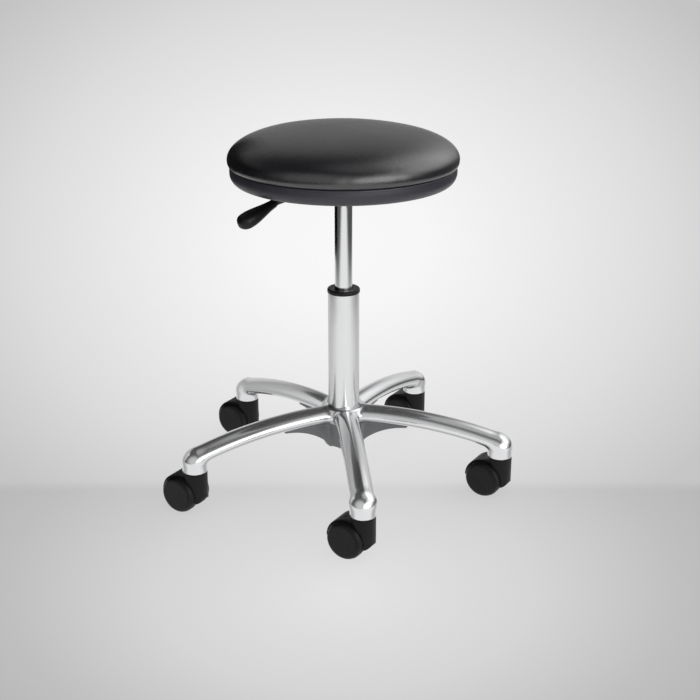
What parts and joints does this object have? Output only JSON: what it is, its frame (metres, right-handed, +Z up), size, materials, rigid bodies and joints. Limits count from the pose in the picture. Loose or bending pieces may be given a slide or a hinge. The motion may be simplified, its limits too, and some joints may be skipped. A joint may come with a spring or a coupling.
{
  "type": "round stool",
  "caption": "Height-adjustable round padded stool on a gas column with a polished star base and hooded twin-wheel casters.",
  "frame": {"origin": "on the floor, on the column's axis", "axes": "+Z up, the first leg along -Y, +X to the right seen from that leg"},
  "size_m": [0.5636, 0.5381, 0.595],
  "materials": {
    "polished_aluminium": "polished",
    "polished_steel": "polished",
    "black_plastic": "satin",
    "black_gloss_plastic": "satin",
    "caster_plastic": "matte",
    "tread": "matte",
    "plain_steel": "satin",
    "black_steel": "satin",
    "seal_rubber": "matte",
    "plywood": "matte",
    "foam": "matte",
    "black_vinyl": "satin",
    "black_felt": "matte"
  },
  "bodies": {
    "base": {"star_base": "polished_aluminium", "column_tube": "polished_steel", "guide_bush": "black_plastic", "column_plate": "plain_steel", "lower_race": "plain_steel", "thrust_balls": "plain_steel", "caster_stems": "plain_steel", "grip_rings": "plain_steel"},
    "spindle": {"upper_race": "plain_steel", "piston_rod": "plain_steel", "piston": "plain_steel", "piston_ring": "seal_rubber", "rod_clip": "plain_steel", "rubber_bumper": "seal_rubber"},
    "seat": {"gas_cylinder": "polished_steel", "rod_guide": "black_plastic", "taper_socket": "black_steel", "seat_plate": "black_steel", "lever_bracket": "plain_steel", "lever_pin": "plain_steel", "plate_screws": "plain_steel", "seat_board": "plywood", "tee_nuts": "plain_steel", "seat_foam": "foam", "seat_cover": "black_vinyl", "seat_band": "black_vinyl", "under_cover": "black_felt"},
    "lever": {"lever_rod": "black_steel", "lever_grip": "black_gloss_plastic"},
    "button": {"release_button": "plain_steel"},
    "caster_1": {"caster_hood_1": "caster_plastic", "caster_axle_1": "plain_steel"},
    "wheel_a_1": {"wheel_a_1": "caster_plastic", "tyre_a_1": "tread"},
    "wheel_b_1": {"wheel_b_1": "caster_plastic", "tyre_b_1": "tread"},
    "caster_2": {"caster_hood_2": "caster_plastic", "caster_axle_2": "plain_steel"},
    "wheel_a_2": {"wheel_a_2": "caster_plastic", "tyre_a_2": "tread"},
    "wheel_b_2": {"wheel_b_2": "caster_plastic", "tyre_b_2": "tread"},
    "caster_3": {"caster_hood_3": "caster_plastic", "caster_axle_3": "plain_steel"},
    "wheel_a_3": {"wheel_a_3": "caster_plastic", "tyre_a_3": "tread"},
    "wheel_b_3": {"wheel_b_3": "caster_plastic", "tyre_b_3": "tread"},
    "caster_4": {"caster_hood_4": "caster_plastic", "caster_axle_4": "plain_steel"},
    "wheel_a_4": {"wheel_a_4": "caster_plastic", "tyre_a_4": "tread"},
    "wheel_b_4": {"wheel_b_4": "caster_plastic", "tyre_b_4": "tread"},
    "caster_5": {"caster_hood_5": "caster_plastic", "caster_axle_5": "plain_steel"},
    "wheel_a_5": {"wheel_a_5": "caster_plastic", "tyre_a_5": "tread"},
    "wheel_b_5": {"wheel_b_5": "caster_plastic", "tyre_b_5": "tread"}
  },
  "joints": [
    {"name": "seat_swivel", "type": "hinge", "parent": "base", "child": "spindle", "pos_m": [0, 0, 0.085], "axis": [0, 0, 1], "continuous": true},
    {"name": "seat_lift", "type": "slide", "parent": "spindle", "child": "seat", "axis": [0, 0, 1], "range_m": [-0.13, 0]},
    {"name": "lever_tip", "type": "hinge", "parent": "seat", "child": "lever", "pos_m": [-0.02375, -0.01484, 0.5042], "axis": [-0.5299, 0.848, 0], "range_deg": [0, 4], "stiffness_Nm_per_rad": 4, "springref_deg": -5.73},
    {"name": "button_press", "type": "slide", "parent": "seat", "child": "button", "axis": [0, 0, -1], "range_m": [0, 0.0021]},
    {"name": "caster_swivel_1", "type": "hinge", "parent": "base", "child": "caster_1", "pos_m": [0, -0.258, 0.058], "axis": [0, 0, 1], "continuous": true},
    {"name": "wheel_spin_a_1", "type": "hinge", "parent": "caster_1", "child": "wheel_a_1", "pos_m": [-0.01576, -0.24569, 0.03], "axis": [-0.6157, -0.788, 0], "continuous": true},
    {"name": "wheel_spin_b_1", "type": "hinge", "parent": "caster_1", "child": "wheel_b_1", "pos_m": [-0.01576, -0.24569, 0.03], "axis": [-0.6157, -0.788, 0], "continuous": true},
    {"name": "caster_swivel_2", "type": "hinge", "parent": "base", "child": "caster_2", "pos_m": [0.24537, -0.07973, 0.058], "axis": [0, 0, 1], "continuous": true},
    {"name": "wheel_spin_a_2", "type": "hinge", "parent": "caster_2", "child": "wheel_a_2", "pos_m": [0.22961, -0.06741, 0.03], "axis": [-0.6157, -0.788, 0], "continuous": true},
    {"name": "wheel_spin_b_2", "type": "hinge", "parent": "caster_2", "child": "wheel_b_2", "pos_m": [0.22961, -0.06741, 0.03], "axis": [-0.6157, -0.788, 0], "continuous": true},
    {"name": "caster_swivel_3", "type": "hinge", "parent": "base", "child": "caster_3", "pos_m": [0.15165, 0.20873, 0.058], "axis": [0, 0, 1], "continuous": true},
    {"name": "wheel_spin_a_3", "type": "hinge", "parent": "caster_3", "child": "wheel_a_3", "pos_m": [0.13589, 0.22104, 0.03], "axis": [-0.6157, -0.788, 0], "continuous": true},
    {"name": "wheel_spin_b_3", "type": "hinge", "parent": "caster_3", "child": "wheel_b_3", "pos_m": [0.13589, 0.22104, 0.03], "axis": [-0.6157, -0.788, 0], "continuous": true},
    {"name": "caster_swivel_4", "type": "hinge", "parent": "base", "child": "caster_4", "pos_m": [-0.15165, 0.20873, 0.058], "axis": [0, 0, 1], "continuous": true},
    {"name": "wheel_spin_a_4", "type": "hinge", "parent": "caster_4", "child": "wheel_a_4", "pos_m": [-0.16741, 0.22104, 0.03], "axis": [-0.6157, -0.788, 0], "continuous": true},
    {"name": "wheel_spin_b_4", "type": "hinge", "parent": "caster_4", "child": "wheel_b_4", "pos_m": [-0.16741, 0.22104, 0.03], "axis": [-0.6157, -0.788, 0], "continuous": true},
    {"name": "caster_swivel_5", "type": "hinge", "parent": "base", "child": "caster_5", "pos_m": [-0.24537, -0.07973, 0.058], "axis": [0, 0, 1], "continuous": true},
    {"name": "wheel_spin_a_5", "type": "hinge", "parent": "caster_5", "child": "wheel_a_5", "pos_m": [-0.26113, -0.06741, 0.03], "axis": [-0.6157, -0.788, 0], "continuous": true},
    {"name": "wheel_spin_b_5", "type": "hinge", "parent": "caster_5", "child": "wheel_b_5", "pos_m": [-0.26113, -0.06741, 0.03], "axis": [-0.6157, -0.788, 0], "continuous": true}
  ],
  "couplings": [
    {"joint": "button_press", "follows": "lever_tip", "m_per_rad": 0.028}
  ]
}
